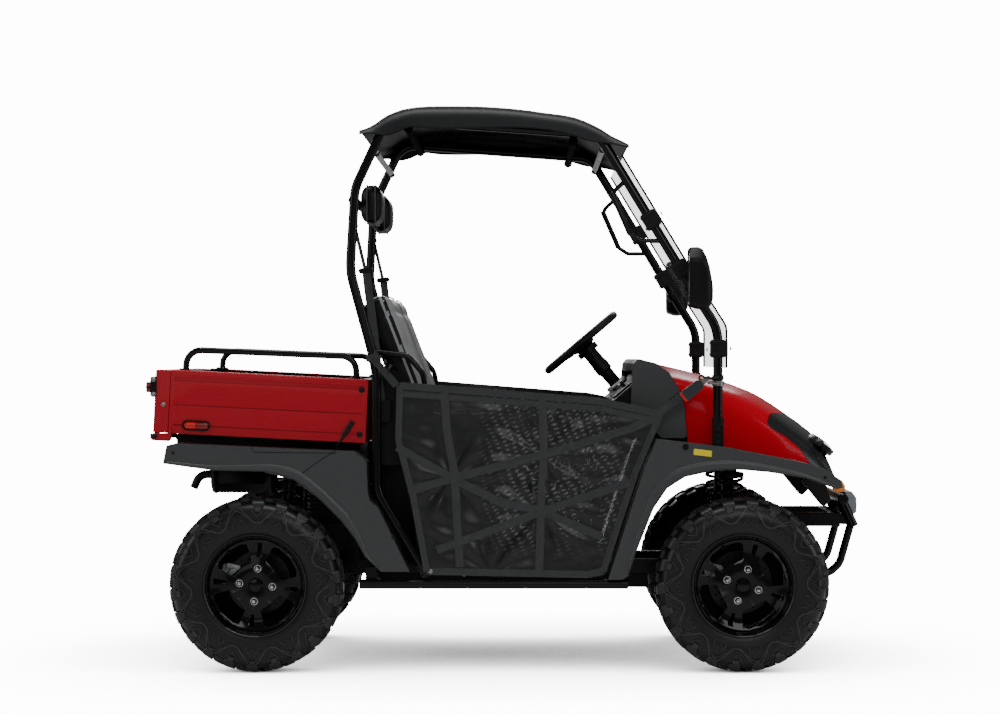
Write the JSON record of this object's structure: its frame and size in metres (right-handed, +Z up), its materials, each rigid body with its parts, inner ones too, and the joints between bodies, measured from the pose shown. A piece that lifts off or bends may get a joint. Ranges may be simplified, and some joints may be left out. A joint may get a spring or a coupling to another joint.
{
  "type": "side by side utility vehicle",
  "caption": "Compact open utility vehicle with side by side seating, roof, side nets, tilting cargo bed with drop tailgate, steering and rolling wheels.",
  "frame": {"origin": "on the ground, under the middle of the vehicle's bounding box", "axes": "+X forward, +Y to the driver's left, +Z up"},
  "size_m": [2.43, 1.48, 1.905],
  "materials": {
    "frame_black": "satin black paint",
    "springs_black": "satin black",
    "floor_plastic": "fine grain",
    "grey_plastic": "fine grain dark grey",
    "guard_grey": "light grey",
    "red_gloss": "gloss red",
    "red_bed": "semi gloss red paint",
    "engine_metal": "cast",
    "exhaust_steel": "heat-tinted steel",
    "lamp_glass": "clear lens",
    "signal_plastic": "amber and red lenses",
    "marker_red": "red lens in a black bezel",
    "seat_vinyl": "black and grey vinyl",
    "roof_plastic": "textured black",
    "screen_clear": "clear sheet",
    "mirror_black": "black shell with mirror glass",
    "net_fabric": "black mesh with webbing",
    "wheel_grip": "soft black grip",
    "tyre_rubber": "black rubber",
    "rim_gloss": "gloss black alloy"
  },
  "bodies": {
    "chassis": {"frame_rails": "frame_black", "frame_cross_members": "frame_black", "bed_pivot": "frame_black", "floor": "floor_plastic", "skid_plate": "frame_black", "engine": "engine_metal", "muffler": "exhaust_steel", "front_arms": "frame_black", "springs": "springs_black", "rear_axle": "frame_black", "steering_column": "floor_plastic", "roll_cage_rear": "frame_black", "roll_cage_front": "frame_black", "roll_cage_cross_bars": "frame_black", "hand_bars": "frame_black", "front_bumper": "frame_black", "bumper_guard": "guard_grey", "front_fenders": "grey_plastic", "rear_fenders": "grey_plastic", "hood": "red_gloss", "nose": "grey_plastic", "headlamps": "lamp_glass", "signal_lamps": "signal_plastic", "dash": "floor_plastic", "dash_trim": "grey_plastic", "seat_base": "floor_plastic", "seat_cushions": "seat_vinyl", "seat_backs": "seat_vinyl", "headrests": "seat_vinyl", "roof": "roof_plastic", "windscreen": "screen_clear", "windscreen_clamps": "floor_plastic", "mirrors": "mirror_black", "side_net_left": "net_fabric", "side_net_right": "net_fabric"},
    "bed": {"bed_tub": "red_bed", "bed_rails": "frame_black", "side_lamps": "marker_red"},
    "tailgate": {"tailgate": "red_bed"},
    "knuckle_left": {"knuckle_left": "frame_black"},
    "knuckle_right": {"knuckle_right": "frame_black"},
    "steering_rack": {"steering_rack_bar": "frame_black"},
    "steering_wheel": {"steering_wheel": "wheel_grip"},
    "wheel_front_left": {"tyre_front_left": "tyre_rubber", "rim_front_left": "rim_gloss"},
    "wheel_front_right": {"tyre_front_right": "tyre_rubber", "rim_front_right": "rim_gloss"},
    "wheel_rear_left": {"tyre_rear_left": "tyre_rubber", "rim_rear_left": "rim_gloss"},
    "wheel_rear_right": {"tyre_rear_right": "tyre_rubber", "rim_rear_right": "rim_gloss"}
  },
  "joints": [
    {"name": "wheel_front_left_spin", "type": "hinge", "parent": "knuckle_left", "child": "wheel_front_left", "pos_m": [0.78, 0.535, 0.292], "axis": [0, 1, 0], "continuous": true},
    {"name": "wheel_front_right_spin", "type": "hinge", "parent": "knuckle_right", "child": "wheel_front_right", "pos_m": [0.78, -0.535, 0.292], "axis": [0, 1, 0], "continuous": true},
    {"name": "wheel_rear_left_spin", "type": "hinge", "parent": "chassis", "child": "wheel_rear_left", "pos_m": [-0.845, 0.535, 0.292], "axis": [0, 1, 0], "continuous": true},
    {"name": "wheel_rear_right_spin", "type": "hinge", "parent": "chassis", "child": "wheel_rear_right", "pos_m": [-0.845, -0.535, 0.292], "axis": [0, 1, 0], "continuous": true},
    {"name": "steer_left", "type": "hinge", "parent": "chassis", "child": "knuckle_left", "pos_m": [0.78, 0.395, 0.292], "axis": [0, 0, 1], "range_deg": [-28, 28]},
    {"name": "steer_right", "type": "hinge", "parent": "chassis", "child": "knuckle_right", "pos_m": [0.78, -0.395, 0.292], "axis": [0, 0, 1], "range_deg": [-28.5, 28.5]},
    {"name": "steering_wheel_turn", "type": "hinge", "parent": "chassis", "child": "steering_wheel", "pos_m": [0.259, 0.3, 1.106], "axis": [-0.6468, 0, 0.7627], "range_deg": [-365, 365]},
    {"name": "rack_slide", "type": "slide", "parent": "chassis", "child": "steering_rack", "axis": [0, 1, 0], "range_m": [-0.048, 0.048]},
    {"name": "bed_tilt", "type": "hinge", "parent": "chassis", "child": "bed", "pos_m": [-1.15, 0, 0.775], "axis": [0, -1, 0], "range_deg": [0, 40]},
    {"name": "tailgate_hinge", "type": "hinge", "parent": "bed", "child": "tailgate", "pos_m": [-1.186, 0, 0.79], "axis": [0, -1, 0], "range_deg": [0, 90]}
  ],
  "couplings": [
    {"joint": "steer_right", "follows": "steer_left", "ratio": 1},
    {"joint": "steering_wheel_turn", "follows": "steer_left", "ratio": 13},
    {"joint": "rack_slide", "follows": "steer_left", "m_per_rad": -0.096067}
  ]
}
